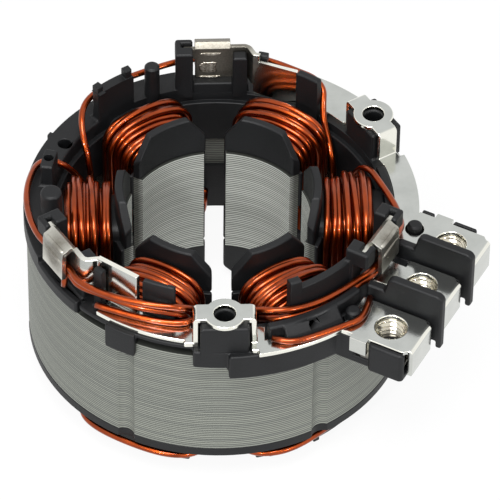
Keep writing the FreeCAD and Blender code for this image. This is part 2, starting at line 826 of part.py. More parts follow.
def busbar_rear():
    """From the rear hook round the rear boss and along the right side to terminal 2."""
    spread = math.degrees(math.asin((leg_out + 0.5) / boss_r))
    rear = hook_angles["rear"]
    foot_r = bar_r + 0.3
    pieces = kinked_strip(rear, -1, 60.2, rear_bar_drop) + [
        hook(rear, core_h + sill_rise),
        tail(rear, 1),
        sector(bar_r, bar_r + 1, seat_z, bar_z, 60.2, 64.0),
        sector(bar_r + 0.5, wide_bar_out_r, seat_z, bar_z, 30.0 + spread, 64.0),
        turned(tab_strip(foot_r, front_bar_out_r), 30.0),
        sector(right_bar_in_r, right_bar_out_r, seat_z, bar_z, 343.0, 390.0 - spread),
        turned(block(bar_r + 1, front_bar_out_r, -leg_out - 1.0, -leg_out, seat_z, bar_z), 30.0),
        lug(2, lug_inner_u + 0.1),
        side_flap(1),
    ]
    return plate_set(pieces, stake_holes() + [screw_hole(30.0)])


def busbar_middle():
    """From the hook at the terminals straight out to terminal 1."""
    terminal = hook_angles["terminal"]
    neck_half = lug_width / 2 - 1.25
    neck = block(hook_x, lug_inner_u + 3.5, lug_shift - neck_half, lug_shift + neck_half, seat_z, bar_z)
    pieces = [
        hook(terminal, seat_z), tail(terminal, 1), tail(terminal, -1), at_terminals(neck),
        lug(1, lug_inner_u + 3.0),
    ]
    return plate_set(pieces, [])


# Nuts
def nut(i):
    """A square nut under terminal 0, 1 or 2, with a plain hole at its thread's inner size."""
    v = lug_v(i)
    half = nut_side / 2
    body = block(lug_u - half, lug_u + half, v - half, v + half, seat_z - nut_height, seat_z)
    return at_terminals(body.cut(peg(lug_u, v, nut_thread_r, seat_z - nut_height - 1, seat_z + 1)))


# Leads and crossovers
def wire_along(spots):
    """A wire through a line of points: straight runs joined by tangent arcs."""
    edges = []
    last = spots[0]
    for before, here, after in zip(spots, spots[1:], spots[2:]):
        run_in = here - before
        run_out = after - here
        turn = run_in.getAngle(run_out)
        cut = 0.45 * min(run_in.Length, run_out.Length)
        radius = cut / math.tan(turn / 2)
        way_in = FreeCAD.Vector(run_in).normalize()
        way_out = FreeCAD.Vector(run_out).normalize()
        start = here - way_in * cut
        end = here + way_out * cut
        inwards = (way_out - way_in).normalize()
        middle = here + inwards * (radius / math.cos(turn / 2) - radius)
        edges.append(Part.LineSegment(last, start).toShape())
        edges.append(Part.Arc(start, middle, end).toShape())
        last = end
        bends.append(radius)
    edges.append(Part.LineSegment(last, spots[-1]).toShape())
    path = Part.Wire(edges)
    first_way = FreeCAD.Vector(spots[1] - spots[0]).normalize()
    side = first_way.cross(FreeCAD.Vector(0, 0, 1))
    if side.Length < 0.1:
        side = first_way.cross(FreeCAD.Vector(1, 0, 0))
    side.normalize()
    up = side.cross(first_way)
    rim = []
    for k in range(wire_sides):
        a = 2 * math.pi * k / wire_sides
        rim.append(spots[0] + side * (wire_d / 2 * math.cos(a)) + up * (wire_d / 2 * math.sin(a)))
    section = Part.makePolygon(rim + [rim[0]])
    return path.makePipeShell([section], True, False)


bends = []
wire_sides = 6
on_sheet = seat_rise + sheet + wire_d / 2 + fit

# Each stop of a lead: its angle, how far out from the yoke's inner face it lies, and its rise.
lead_routes = {
    "lead_rear_left": (
        (150, -2.9, -4.85), (149.5, -2.5, 0.75), (144, 0.2, 4.55), (136.5, 2.25, 5.95),
        (126, 2.5, 6.05), (113, 2.3, 5.85), (103.5, 2.65, 5.95), (96.6, 2.75, 6.1), (90.5, 2.6, 6.25),
    ),
    "lead_rear_right": (
        (35.2, -2.4, -4.85), (35.8, -2.1, 0.75), (42, -0.9, 4.15), (48, 0.7, 5.55), (52.8, 2.1, 6.15),
        (61, 2.45, 6.25), (70, 2.95, 6.25), (78.8, 3.45, 6.25), (83.4, 2.75, 6.25), (89.5, 2.6, 6.25),
    ),
    "lead_left": (
        (154.5, -3.1, -4.85), (155, -2.5, 0.95), (156.3, 0.1, 4.35), (158.5, 2.4, 5.25),
        (168, 3.2, 5.45), (178, 3.5, 5.25), (188, 3.45, 5.35), (198, 3.25, 5.55), (204.4, 2.75, 5.75),
        (210.3, 2.6, 5.95),
    ),
    "lead_front_left_upper": (
        (265, -3.0, -4.85), (264.5, -2.6, 1.15), (260, -0.9, 4.35), (255, 0.9, 5.95), (245, 1.6, 5.95),
        (233.5, 2.55, 5.75), (222.2, 3.45, 5.85), (217.6, 2.75, 5.95), (211.7, 2.6, 6.05),
    ),
    "lead_front_left_middle": (
        (257.2, -1.0, 2.35), (256, 0.55, 4.05), (251, 1.4, 4.65), (240.5, 2.1, 4.65), (231, 2.75, 4.65),
        (222.2, 3.45, 4.85), (217.6, 2.75, 4.95), (210.5, 2.6, 4.95),
    ),
    "lead_front_left_lower": (
        (230.5, 3.0, on_sheet), (239, 2.8, on_sheet), (249, 2.3, on_sheet), (257, 1.3, on_sheet + 0.1),
        (261, -0.4, on_sheet - 0.1), (263, -1.7, 0.55), (263.3, -1.8, -4.85),
    ),
    "lead_front_right_upper": (
        (277.3, -2.9, -4.85), (277.3, -2.3, 1.15), (281, -0.6, 4.35), (288, 1.5, 5.05),
        (300, 1.75, 4.45), (311, 1.72, 4.25), (317.5, 1.9, 4.35), (322.6, 2.7, 4.75), (329, 2.6, 5.15),
    ),
    "lead_front_right_lower": (
        (283, -0.9, 2.05), (288.5, 1.6, 3.65), (300, 1.8, 3.45), (311, 1.72, 3.15), (317.5, 1.9, 3.35),
        (322.6, 2.7, 3.75), (329, 2.6, 4.15),
    ),
    "lead_front_right_rim": (
        (283.5, 4.2, on_sheet), (288.5, 5.75, on_sheet), (297, 5.85, on_sheet), (304, 6.2, on_sheet),
        (309, 6.65, on_sheet), (316.2, 4.6, on_sheet),
    ),
    "lead_right": (
        (23.5, -2.7, -4.85), (23.5, -2.3, 0.75), (19, -0.8, 3.35), (12, 0.2, 3.95), (2, 1.3, 3.95),
        (353, 2.3, 3.95), (345.5, 2.85, 4.55), (340, 2.9, 5.35), (335.2, 2.75, 5.75), (328.5, 2.6, 6.1),
    ),
}


def lead(stops):
    """A lead through its stops."""
    return wire_along([point(yoke_r + out, angle, core_h + rise) for angle, out, rise in stops])


def crossover(slot):
    """A wire under the lower rim from one slot to the next, clockwise to anticlockwise."""
    z = -bottom_flange - wire_d / 2 - rooting
    start = (
        (slot + 3, yoke_r - 1.9, 3.0), (slot + 3.5, yoke_r - 1.6, -2.2), (slot + 6.5, yoke_r + 0.9, z - 0.8),
        (slot + 12.5, core_r - wire_d / 2, z - 0.1), (slot + 22, core_r - 0.1, z),
    )
    end = [(2 * slot + tooth_pitch - angle, r, height) for angle, r, height in reversed(start)]
    return wire_along([point(r, angle, height) for angle, r, height in start + tuple(end)])


def write(name, shape):
    """Writes one sub-part as STEP."""
    print(name, shape.isValid(), len(shape.Solids), round(shape.Volume, 1), len(shape.Faces))
    shape.exportStep("parts/" + name + ".step")


write("laminated_core", core())
write("top_insulator", top_insulator())
write("bottom_insulator", bottom_insulator())
one_coil = coil()
for i, angle in enumerate(tooth_angles):
    write("coil_%d" % (i + 1), turned(one_coil, angle))
write("busbar_front", busbar_front())
write("busbar_middle", busbar_middle())
write("busbar_rear", busbar_rear())
for i in range(3):
    write("terminal_nut_%d" % (i + 1), nut(i))
for name, stops in lead_routes.items():
    write(name, lead(stops))
for i, slot in enumerate((210.0, 270.0, 90.0)):
    write("crossover_%d" % (i + 1), crossover(slot))
print("least bend radius of the wires", round(min(bends), 2))
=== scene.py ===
import math

import bmesh
import bpy
import numpy as np
from mathutils import Matrix


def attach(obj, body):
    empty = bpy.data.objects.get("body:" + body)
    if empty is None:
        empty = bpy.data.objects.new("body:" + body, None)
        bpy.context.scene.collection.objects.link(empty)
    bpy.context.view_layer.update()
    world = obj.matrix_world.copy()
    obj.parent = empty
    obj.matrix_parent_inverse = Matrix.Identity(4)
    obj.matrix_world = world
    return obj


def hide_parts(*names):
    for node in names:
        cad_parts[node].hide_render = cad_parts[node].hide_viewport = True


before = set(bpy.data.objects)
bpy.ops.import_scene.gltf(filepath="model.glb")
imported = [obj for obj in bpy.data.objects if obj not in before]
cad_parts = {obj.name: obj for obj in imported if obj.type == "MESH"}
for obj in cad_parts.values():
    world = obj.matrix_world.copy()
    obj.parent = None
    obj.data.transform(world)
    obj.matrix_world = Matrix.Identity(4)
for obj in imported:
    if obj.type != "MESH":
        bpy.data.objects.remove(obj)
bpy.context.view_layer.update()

# Laminated core
# A stack of punched electrical steel sheets, 0.35 mm each, pressed together. The node from the
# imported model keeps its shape, and its material draws the sheets' sheared edges.
mm = 0.001
core_r = 26 * mm
core_h = 17.85 * mm
sheet_pitch = 0.35 * mm


def linear(code):
    """An sRGB hex colour as linear red, green, blue and a full alpha."""
    parts = np.array([int(code[i:i + 2], 16) for i in (1, 3, 5)]) / 255
    curve = np.where(parts <= 0.04045, parts / 12.92, ((parts + 0.055) / 1.055) ** 2.4)
    return (*curve.tolist(), 1.0)


def add(tree, kind, inputs=(), **settings):
    """Adds a node: settings are its properties, and each input takes a value or an output to link."""
    made = tree.nodes.new(kind)
    for key, value in settings.items():
        setattr(made, key, value)
    for key, value in dict(inputs).items():
        if isinstance(value, bpy.types.NodeSocket):
            tree.links.new(value, made.inputs[key])
        else:
            made.inputs[key].default_value = value
    return made


def mixed(tree, share, start, end):
    """The colour between two colours at a share from 0 to 1: sockets 6 and 7 in, and 2 out."""
    return add(tree, "ShaderNodeMix", {0: share, 6: start, 7: end}, data_type="RGBA").outputs[2]


def new_material(name):
    """An empty node material, and its tree."""
    material = bpy.data.materials.new(name)
    material.use_nodes = True
    material.node_tree.nodes.clear()
    return material, material.node_tree


def finish_material(tree, inputs):
    """Closes a material with one surface shader."""
    shader = add(tree, "ShaderNodeBsdfPrincipled", inputs)
    add(tree, "ShaderNodeOutputMaterial", {"Surface": shader.outputs[0]})


def radius_at(tree, place):
    """How far a point lies from the core's axis."""
    flat_place = add(tree, "ShaderNodeVectorMath", {0: place, 1: (1.0, 1.0, 0.0)}, operation="MULTIPLY")
    return add(tree, "ShaderNodeVectorMath", {0: flat_place.outputs[0]}, operation="LENGTH").outputs["Value"]


def lamination_steel():
    """Sheared silicon steel: dull grey metal, each sheet its own tone, with dark fine joints between.

    The eye sees fine level lines that wander a little, and the bore is painted paler than the rim as painted
    light.
    """
    material, tree = new_material("lamination_steel")
    waves_to_a_metre = (0.17 / mm, 0.17 / mm, 0.06 / mm)
    burrs_to_a_metre = (0.9 / mm, 0.9 / mm, 1 / sheet_pitch)
    wander_depth = 0.03 * mm
    bore_r, bore_end_r = 12.8 * mm, 13.4 * mm
    place = add(tree, "ShaderNodeTexCoord").outputs["Object"]
    height = add(tree, "ShaderNodeSeparateXYZ", {0: place}).outputs["Z"]
    waves = add(tree, "ShaderNodeMapping", {"Vector": place, "Scale": waves_to_a_metre})
    wander = add(tree, "ShaderNodeTexNoise", {"Vector": waves.outputs[0], "Scale": 1.0, "Detail": 2.0})
    shift = add(tree, "ShaderNodeMath", {0: wander.outputs[0], 1: wander_depth, 2: height},
                operation="MULTIPLY_ADD")
    count = add(tree, "ShaderNodeMath", {0: shift.outputs[0], 1: sheet_pitch}, operation="DIVIDE")
    index = add(tree, "ShaderNodeMath", {0: count.outputs[0]}, operation="FLOOR")
    tone = add(tree, "ShaderNodeTexWhiteNoise", {"W": index.outputs[0]}, noise_dimensions="1D")
    across = add(tree, "ShaderNodeMath", {0: count.outputs[0], 1: 0.5}, operation="PINGPONG")
    joint = add(tree, "ShaderNodeMapRange", {"Value": across.outputs[0], "From Min": 0.05, "From Max": 0.3})
    flat = add(tree, "ShaderNodeMapping", {"Vector": place, "Scale": burrs_to_a_metre})
    burr = add(tree, "ShaderNodeTexNoise", {"Vector": flat.outputs[0], "Scale": 1.0, "Detail": 3.0})
    # Painted light: the sheets in the bore are painted paler than those on the rim, fading between these
    # radii.
    outside = add(tree, "ShaderNodeMapRange", {"Value": radius_at(tree, place), "From Min": bore_r,
                                               "From Max": bore_end_r})
    rim = mixed(tree, tone.outputs[0], linear("#82857f"), linear("#95988f"))
    bore = mixed(tree, tone.outputs[0], linear("#c9ccc5"), linear("#dde0d9"))
    pale = mixed(tree, outside.outputs[0], bore, rim)
    joints_and_painted_bore_light = mixed(tree, joint.outputs[0], linear("#3c3e3a"), pale)
    rough = add(tree, "ShaderNodeMapRange", {"Value": burr.outputs[0], "To Min": 0.5, "To Max": 0.68})
    relief = add(tree, "ShaderNodeMath", {0: burr.outputs[0], 1: 0.5, 2: joint.outputs[0]},
                 operation="MULTIPLY_ADD")
    bump = add(tree, "ShaderNodeBump", {"Height": relief.outputs[0], "Strength": 0.3, "Distance": 0.04 * mm})
    finish_material(tree, {"Base Color": joints_and_painted_bore_light, "Metallic": 0.55, "Roughness": rough.outputs[0],
                           "Normal": bump.outputs[0]})
    return material


core_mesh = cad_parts["laminated_core"].data
core_mesh.materials.clear()
core_mesh.materials.append(lamination_steel())


# End insulators
# Two black mouldings of glass-filled nylon, one over each end of the core. Each is drawn as a copy of
# its node with the moulded edges rounded, because a moulding has no sharp edges.
def black_nylon():
    """Moulded glass-filled nylon: near black and matte, clouded a little, with a fine grain.

    The real grain of the fibres is too fine to show, so it is drawn 0.19 mm wide.
    """
    material, tree = new_material("glass_filled_nylon")
    grains_to_a_metre = 5.2 / mm
    clouds_to_a_metre = 0.26 / mm
    place = add(tree, "ShaderNodeTexCoord").outputs["Object"]
    grain = add(tree, "ShaderNodeTexNoise", {"Vector": place, "Scale": grains_to_a_metre, "Detail": 4.0})
    cloud = add(tree, "ShaderNodeTexNoise", {"Vector": place, "Scale": clouds_to_a_metre, "Detail": 3.0})
    tone = mixed(tree, cloud.outputs[0], linear("#090a0b"), linear("#151618"))
    rough = add(tree, "ShaderNodeMapRange", {"Value": grain.outputs[0], "To Min": 0.42, "To Max": 0.58})
    bump = add(tree, "ShaderNodeBump", {"Height": grain.outputs[0], "Strength": 0.35, "Distance": 0.06 * mm})
    finish_material(tree, {"Base Color": tone, "Roughness": rough.outputs[0], "IOR": 1.53,
                           "Specular IOR Level": 0.26, "Normal": bump.outputs[0]})
    return material


nylon = black_nylon()
upper_rounding = 0.4 * mm
lower_rounding = 0.25 * mm


def round_bends(shape, sheet, reach):
    """Rounds the bends of a sheet: each ridge that has a valley beside it, one thickness further in.

    The ridge's rounding reaches this far each way, and the valley's less by the sheet times the tangent
    of half the bend, so that the sheet keeps its thickness.
    """
    least_bend = 0.4
    least_offset = 0.03 * mm
    ridges = [edge for edge in shape.edges
              if edge.calc_face_angle_signed(0) > least_bend and edge.calc_length() > 2 * sheet]
    valleys = [edge for edge in shape.edges if edge.calc_face_angle_signed(0) < -least_bend]
    for ridge in ridges:
        if not ridge.is_valid:
            continue
        line = (ridge.verts[1].co - ridge.verts[0].co).normalized()
        half = ridge.calc_face_angle(0) / 2
        for valley in valleys:
            if not valley.is_valid:
                continue
            run = (valley.verts[1].co - valley.verts[0].co).normalized()
            if abs(run.dot(line)) < 0.99:
                continue
            gap = (valley.verts[0].co + valley.verts[1].co - ridge.verts[0].co - ridge.verts[1].co) / 2
            if not 0.97 < (gap - gap.dot(line) * line).length * math.cos(half) / sheet < 1.05:
                continue
            beside = [near.calc_length() for edge in (ridge, valley) for corner in edge.verts
                      for near in corner.link_edges]
            outer = min(reach, 0.45 * min(beside))
            for edge, offset in ((ridge, outer), (valley, outer - sheet * math.tan(half))):
                if offset > least_offset:
                    bmesh.ops.bevel(shape, geom=[edge], offset=offset, offset_type="OFFSET", segments=6,
                                    profile=0.5, affect="EDGES", clamp_overlap=False)
            break


def in_a_slot(place):
    """Whether a point lies inside the core, where nothing shows."""
    margin = 0.1 * mm
    return margin < place.z < core_h - margin and place.xy.length < core_r - margin


def edge_widths(shape, width):
    """The share of the width that each sharp edge's rounding can have, equal along each smooth line.

    At each end of an edge the rounding must stay within 0.4 of every edge it runs into. It runs along
    a rounded neighbour by its width over the tangent of half their angle, and along a plain one by its
    width over the sine of their angle.
    """
    least_fold = math.radians(35)
    straight_on = math.radians(140)
    weights = shape.edges.layers.float.new("bevel_weight_edge")
    sharp = {edge for edge in shape.edges if edge.calc_face_angle(0) > least_fold
             and not all(in_a_slot(corner.co) for corner in edge.verts)}
    room = {edge: width for edge in sharp}
    leader = {edge: edge for edge in sharp}

    def first_of(edge):
        """The one edge that stands for a whole line of edges."""
        while leader[edge] is not edge:
            edge = leader[edge]
        return edge

    for edge in sharp:
        for corner in edge.verts:
            line = (edge.other_vert(corner).co - corner.co).normalized()
            for near in corner.link_edges:
                if near is edge:
                    continue
                angle = line.angle(near.other_vert(corner).co - corner.co, 0.0)
                if near in sharp:
                    limit = 0.4 * near.calc_length() * math.tan(min(angle, 3.0) / 2)
                    if angle > straight_on:
                        leader[first_of(edge)] = first_of(near)
                else:
                    limit = 0.4 * near.calc_length() * math.sin(angle)
                if set(near.link_faces) & set(edge.link_faces):
                    room[edge] = min(room[edge], limit)
    least = {}
    for edge in sharp:
        head = first_of(edge)
        least[head] = min(least.get(head, width), room[edge])
    for edge in sharp:
        edge[weights] = least[first_of(edge)] / width


def rounded_copy(node, name, width, material, sheet=0.0):
    """A copy of a node, its triangles merged into flat faces, its sharp edges rounded.

    Where a sheet's thickness is given, its bends are rounded first.
    """
    bend_reach = 0.95 * mm
    merge_gap = 0.002 * mm
    flat_angle = math.radians(0.6)
    smooth_angle = math.radians(28)
    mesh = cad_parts[node].data.copy()
    shape = bmesh.new()
    shape.from_mesh(mesh)
    bmesh.ops.remove_doubles(shape, verts=shape.verts, dist=merge_gap)
    bmesh.ops.dissolve_limit(shape, angle_limit=flat_angle, verts=shape.verts, edges=shape.edges)
    if sheet:
        round_bends(shape, sheet, bend_reach)
    edge_widths(shape, width)
    for face in shape.faces:
        face.smooth = True
    for edge in shape.edges:
        edge.smooth = edge.calc_face_angle(0) < smooth_angle
    shape.to_mesh(mesh)
    shape.free()
    mesh.name = name
    mesh.materials.clear()
    mesh.materials.append(material)
    piece = bpy.data.objects.new(name, mesh)
    bpy.context.scene.collection.objects.link(piece)
    bevel = piece.modifiers.new("rounded_edges", "BEVEL")
    bevel.width = width
    bevel.segments = 3
    bevel.limit_method = "WEIGHT"
    bevel.use_clamp_overlap = False
    bevel.harden_normals = True
    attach(piece, "root")
    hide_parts(node)


rounded_copy("top_insulator", "upper_moulding", upper_rounding, nylon)
rounded_copy("bottom_insulator", "lower_moulding", lower_rounding, nylon)


# Coils
# Each is one length of 0.9 mm enamelled copper wire wound on its tooth over the insulators: seven turns
# side by side, and a few more on top of them. The wire is drawn whole, turn by turn.
def enamelled_copper():
    """Copper under a clear amber enamel: a metal glow with a sharp clear gloss over it."""
    material, tree = new_material("enamelled_copper_wire")
    clouds_to_a_metre = 0.42 / mm
    place = add(tree, "ShaderNodeTexCoord").outputs["Object"]
    cloud = add(tree, "ShaderNodeTexNoise", {"Vector": place, "Scale": clouds_to_a_metre, "Detail": 3.0})
    tone = mixed(tree, cloud.outputs[0], linear("#642306"), linear("#b84c14"))
    rough = add(tree, "ShaderNodeMapRange", {"Value": cloud.outputs[0], "To Min": 0.24, "To Max": 0.34})
    finish_material(tree, {"Base Color": tone, "Metallic": 1.0, "Roughness": rough.outputs[0],
                           "Coat Weight": 0.45, "Coat Roughness": 0.05, "Coat IOR": 1.5})
    return material


copper = enamelled_copper()
wire_r = 0.45 * mm
turn_pitch = 0.915 * mm
tooth_count = 6
tooth_step = 360 // tooth_count


def former_line(distance):
    """The closed line round a tooth at a distance from its insulator, as y and z.

    Two upright sides are joined over each end by a shoulder arc, a flatter crown arc and a second
    shoulder arc. The lower end is the upper one turned over about the core's middle height, and the
    line starts at that height, deep in the slot.
    """
    side = 4.1 * mm
    shoulder = 1.8 * mm
    crown = 9.0 * mm
    out = side - shoulder
    base = core_h + 0.05 * mm
    crown_z = base - math.sqrt((crown - shoulder) ** 2 - out ** 2)
    lean = math.asin(out / (crown - shoulder))
    first = np.linspace(math.pi / 2, lean, 12)
    middle = np.linspace(lean, -lean, 12)[1:-1]
    y = np.concatenate([out + (shoulder + distance) * np.sin(first),
                        (crown + distance) * np.sin(middle),
                        -out - (shoulder + distance) * np.sin(first[::-1])])
    z = np.concatenate([base + (shoulder + distance) * np.cos(first),
                        crown_z + (crown + distance) * np.cos(middle),
                        base + (shoulder + distance) * np.cos(first[::-1])])
    drop = np.linspace(base, core_h - base, 10)[1:-1]
    half = len(drop) // 2
    left = np.stack([np.full(len(drop), -side - distance), drop], 1)
    right = np.stack([np.full(len(drop), side + distance), drop[::-1]], 1)
    over = np.stack([y, z], 1)
    under = np.stack([-y, core_h - z], 1)
    return np.concatenate([right[half:], over, left, under, right[:half]])


def tube_round(path, across, radius, sides):
    """A tube along a path: at each station a circle in the plane of two directions square to it.

    The first direction is the given one made square to the path, and the second completes the frame.
    """
    along = np.gradient(path, axis=0)
    along /= np.linalg.norm(along, axis=1, keepdims=True)
    first = across - (across * along).sum(1, keepdims=True) * along
    first /= np.linalg.norm(first, axis=1, keepdims=True)
    second = np.cross(along, first)
    turn = np.linspace(0, 2 * math.pi, sides, endpoint=False)[None, :, None]
    rings = path[:, None] + radius * (np.cos(turn) * first[:, None] + np.sin(turn) * second[:, None])
    return rings.reshape(-1, 3), grid_faces(len(path), sides)


def grid_faces(rows, columns):
    """The four-cornered faces of a grid that closes on itself across its columns, with its ends capped."""
    row = np.arange(rows - 1)[:, None] * columns
    column = np.arange(columns)[None, :]
    after = (column + 1) % columns
    quads = np.stack([row + column, row + after, row + columns + after, row + columns + column], -1)
    caps = [list(range(columns))[::-1], list(range((rows - 1) * columns, rows * columns))]
    return quads.reshape(-1, 4).tolist() + caps


def piece_from(name, verts, faces, material, nodes):
    """A finished piece from points and faces, smooth, riding on the body and standing for its nodes."""
    mesh = bpy.data.meshes.new(name)
    mesh.from_pydata(verts.tolist(), [], faces)
    mesh.polygons.foreach_set("use_smooth", np.ones(len(mesh.polygons), bool))
    mesh.materials.append(material)
    mesh.update()
    piece = bpy.data.objects.new(name, mesh)
    bpy.context.scene.collection.objects.link(piece)
    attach(piece, "root")
    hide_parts(*nodes)


def winding(distance, start, turns, way, seed, loose):
    """One layer of wire: the line round the tooth, moved along the tooth by one pitch in each turn.

    The move happens over the two ends, half of a pitch at each. A slow sway, a lean that changes from
    turn to turn and a small lift are added, more of them in a loose layer.
    """
    line = former_line(distance)
    middle = core_h / 2
    step = np.linalg.norm(np.diff(line, axis=0, append=line[:1]), axis=1)
    part = np.concatenate([[0], np.cumsum(step)[:-1]]) / step.sum()
    over_end = np.abs(line[:, 1] - middle) > middle
    climb = np.cumsum(step * over_end)
    climb = climb / climb[-1]
    count = int(turns * len(line))
    lap, place = np.divmod(np.arange(count), len(line))
    wave = np.random.default_rng(seed).uniform(0, 2 * math.pi, 4)
    phase = 2 * math.pi * (lap + part[place])
    sway = np.sin(phase * 0.73 + wave[0]) + np.sin(phase * 1.31 + wave[1])
    lift = np.sin(phase * 0.57 + wave[2]) + np.sin(phase * 1.9 + wave[3])
    rise = line[place, 1] - middle
    lean = np.sin(phase * 0.37 + wave[1]) * rise / middle
    drift = (sway * 0.03 + (sway * 0.05 + lean * 0.16) * loose) * mm
    x = start + way * turn_pitch * (lap + climb[place]) + drift
    grow = 1 + lift * (0.002 + 0.002 * loose)
    return np.stack([x, line[place, 0] * grow, middle + rise * grow], 1)


# Each layer is its distance from the insulator, its start along the tooth, its turns, its way out or
# in along the tooth and how loose it is.
layers = (
    (0.48 * mm, 14.72 * mm, 6.5, 1, 0.0),
    (1.38 * mm, 20.4 * mm, 6.5, -1, 0.8),
    (2.24 * mm, 17.3 * mm, 2.5, 1, 1.6),
)

for number in range(tooth_count):
    points, faces = [], []
    for layer, (distance, start, turns, way, loose) in enumerate(layers):
        path = winding(distance, start, turns, way, number + 10 * layer, loose)
        verts, quads = tube_round(path, np.array([[1.0, 0.0, 0.0]]), wire_r, 10)
        offset = sum(len(part) for part in points)
        points.append(verts)
        faces += [[corner + offset for corner in quad] for quad in quads]
    verts = np.concatenate(points)
    tooth = math.radians(tooth_step * number)
    turned = verts @ np.array([[math.cos(tooth), math.sin(tooth), 0],
                               [-math.sin(tooth), math.cos(tooth), 0], [0, 0, 1]])
    piece_from("winding_%d" % (number + 1), turned, faces, copper,
               ["coil_%d" % (number + 1)])


# Lead wires
# The ends of the coils: the same enamelled wire, bent by hand round the posts and horns of the rim and
# clamped in the hooks. Three more lengths cross under the lower rim from slot to slot.
def bent_line(stops):
    """A smooth line along stops of angle in degrees, radius and height in millimetres.

    At each inner stop a parabola runs from the middle of one straight run to the middle of the next.
    """
    samples = 8
    table = np.array(stops, float)
    angle = np.radians(table[:, 0])
    corners = np.stack([table[:, 1] * np.cos(angle), table[:, 1] * np.sin(angle), table[:, 2]], 1) * mm
    middles = (corners[1:] + corners[:-1]) / 2
    t = np.linspace(0, 1, samples, endpoint=False)[None, :, None]
    start, corner, end = middles[:-1, None], corners[1:-1, None], middles[1:, None]
    curve = (1 - t) ** 2 * start + 2 * t * (1 - t) * corner + t ** 2 * end
    return np.concatenate([corners[:1], curve.reshape(-1, 3), middles[-1:], corners[-1:]])


def square_frames(path):
    """One direction square to the path at each station, turned as little as possible from the last."""
    along = np.gradient(path, axis=0)
    along /= np.linalg.norm(along, axis=1, keepdims=True)
    side = np.cross(along[0], (0.3, 0.2, 0.93))
    frames = []
    for way in along:
        side = side - side.dot(way) * way
        side = side / np.linalg.norm(side)
        frames.append(side)
    return np.array(frames)


# Each stop is its angle in degrees, how far out from the yoke's inner face it lies and its rise over
# the core, both in millimetres.
yoke_r = 22.5
core_top = core_h / mm
on_sheet = 3.25
lead_routes = {
    "lead_rear_left": (
        (150, -2.9, -4.85), (149.5, -2.5, 0.75), (144, 0.2, 4.55), (136.5, 2.25, 5.95),
        (126, 2.5, 6.05), (113, 2.3, 5.85), (103.5, 2.65, 5.95), (96.6, 2.75, 6.1), (90.5, 2.6, 6.25),
    ),
    "lead_rear_right": (
        (35.2, -2.4, -4.85), (37.5, -2.1, -1.65), (42.5, -1.2, 0.55), (47.3, -0.35, 2.55),
        (49.4, 0.55, 4.45), (51.2, 1.65, 5.95), (56, 2.4, 6.3), (62, 2.48, 6.25), (70, 2.95, 6.25),
        (78.8, 3.45, 6.25), (83.4, 2.75, 6.25), (89.5, 2.6, 6.25),
    ),
    "lead_left": (
        (154.5, -3.1, -4.85), (155, -2.5, -1.25), (157.5, -1.2, 1.55), (160, -0.1, 3.35),
        (160.4, 1.4, 3.65), (162.5, 2.75, 3.75), (168, 3.1, 4.35), (178, 3.45, 4.85), (188, 3.48, 5.15),
        (198, 3.25, 5.45), (204.4, 2.75, 5.75), (210.3, 2.6, 5.95),
    ),
    "lead_front_left_upper": (
        (265, -3.0, -4.85), (264.5, -2.6, 1.15), (260, -0.9, 4.35), (255, 0.9, 5.95), (245, 1.6, 5.95),
        (233.5, 2.55, 5.75), (222.2, 3.45, 5.85), (217.6, 2.75, 5.95), (211.7, 2.6, 6.05),
    ),
    "lead_front_left_middle": (
        (257.2, -1.0, 2.35), (256, 0.1, 3.95), (250, 0.8, 4.55), (240.5, 1.6, 4.65), (231, 1.9, 4.65),
        (222.2, 3.25, 4.85), (217.6, 2.75, 4.95), (210.5, 2.6, 4.95),
    ),
    "lead_front_left_lower": (
        (228.6, 3.05, on_sheet), (233.5, 2.5, on_sheet), (241.5, 1.9, on_sheet), (250, 1.5, on_sheet),
        (257, 1.1, on_sheet + 0.1), (261, -0.4, on_sheet - 0.1), (263, -1.7, 0.55),
        (263.3, -1.8, -4.85),
    ),
    "lead_front_right_upper": (
        (277.3, -2.9, -4.85), (277.3, -2.3, 1.15), (281, -0.6, 4.35), (288, 1.5, 5.05),
        (300, 1.75, 4.45), (311, 1.72, 4.25), (317.5, 1.9, 4.35), (322.6, 2.7, 4.75), (329, 2.6, 5.15),
    ),
    "lead_front_right_lower": (
        (283, -0.9, 2.05), (288.5, 1.6, 3.65), (300, 1.8, 3.45), (311, 1.72, 3.15), (317.5, 1.9, 3.35),
        (322.6, 2.7, 3.75), (329, 2.6, 4.15),
    ),
    "lead_front_right_rim": (
        (283.5, 4.2, on_sheet), (288.5, 5.75, on_sheet), (297, 5.85, on_sheet), (304, 6.2, on_sheet),
        (309, 6.65, on_sheet), (316.2, 4.6, on_sheet),
    ),
    "lead_right": (
        (23.5, -2.7, -4.85), (22.5, -2.2, 0.15), (18.5, -1.5, 2.75), (13, -0.9, 3.55), (7, -0.4, 3.65),
        (1, 0.4, 3.7), (354.5, 1.5, 3.75), (349.5, 2.1, 4.05), (345, 2.8, 4.55), (340, 2.9, 5.35),
        (335.2, 2.75, 5.75), (328.5, 2.6, 6.1),
    ),
}

for name, stops in lead_routes.items():
    path = bent_line([(angle, yoke_r + out, core_top + rise) for angle, out, rise in stops])
    verts, faces = tube_round(path, square_frames(path), wire_r, 12)
    piece_from(name + "_wire", verts, faces, copper, [name])

# Each crossover is the angle of the slot it leaves, in degrees, and how far its far end is tucked in.
# The other places are in degrees and millimetres too.
crossovers = ((210, 0), (270, 1.2), (90, 0))
rim_r = 25.9
under_rim = -2.45

for number, (slot, tuck) in enumerate(crossovers):
    start = (
        (slot + 3, 20.6, 3.0), (slot + 3.5, 20.9, -2.2), (slot + 6.5, 23.4, under_rim - 0.8),
        (slot + 12.5, 25.55, under_rim - 0.1), (slot + 22, rim_r, under_rim),
    )
    end = [(2 * slot + tooth_step - angle, min(radius, rim_r - tuck), height)
           for angle, radius, height in reversed(start)]
    path = bent_line(start + tuple(end))
    verts, faces = tube_round(path, square_frames(path), wire_r, 12)
    name = "crossover_%d" % (number + 1)
    piece_from(name + "_wire", verts, faces, copper, [name])


